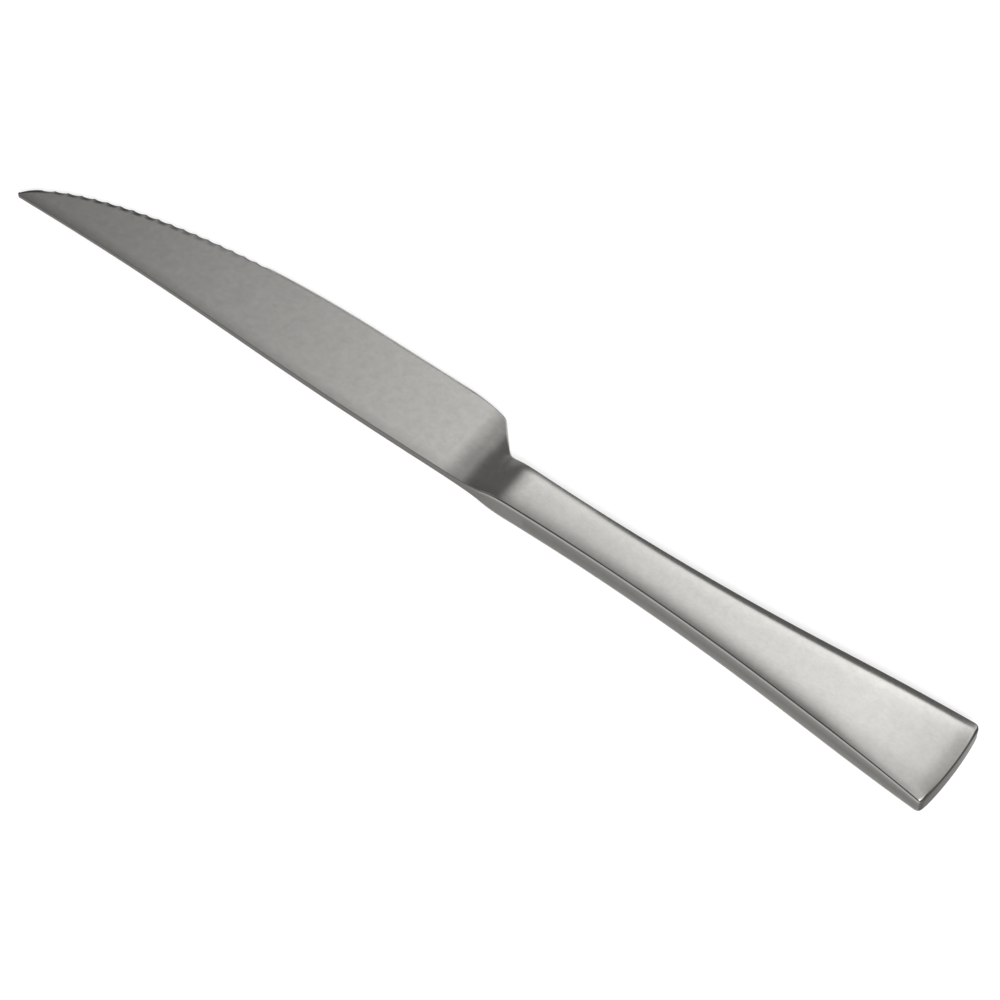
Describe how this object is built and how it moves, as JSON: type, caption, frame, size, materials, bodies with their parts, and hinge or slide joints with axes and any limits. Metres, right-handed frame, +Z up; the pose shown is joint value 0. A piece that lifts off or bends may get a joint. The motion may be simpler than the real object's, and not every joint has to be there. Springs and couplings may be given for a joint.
{
  "type": "steak knife",
  "caption": "Steak knife with a taper-ground, part-serrated blade that swells through a smooth cove into a slim, flared hollow steel handle.",
  "frame": {"origin": "on the surface that the knife lies on, under the middle of its box", "axes": "+X along the knife towards the butt of the handle, +Y towards the cutting edge, +Z up through the side of the blade"},
  "size_m": [0.236, 0.0248, 0.008],
  "materials": {
    "blade_steel": "satin, tumbled",
    "shell_steel": "satin, tumbled",
    "braze": "as cast",
    "solder": "as cast",
    "cement": "matte",
    "filler": "matte"
  },
  "bodies": {
    "root": {"blade": "blade_steel", "upper_handle_shell": "shell_steel", "lower_handle_shell": "shell_steel", "seam_braze": "braze", "bolster_solder": "solder", "tang_cement": "cement", "handle_filler": "filler"}
  },
  "joints": []
}
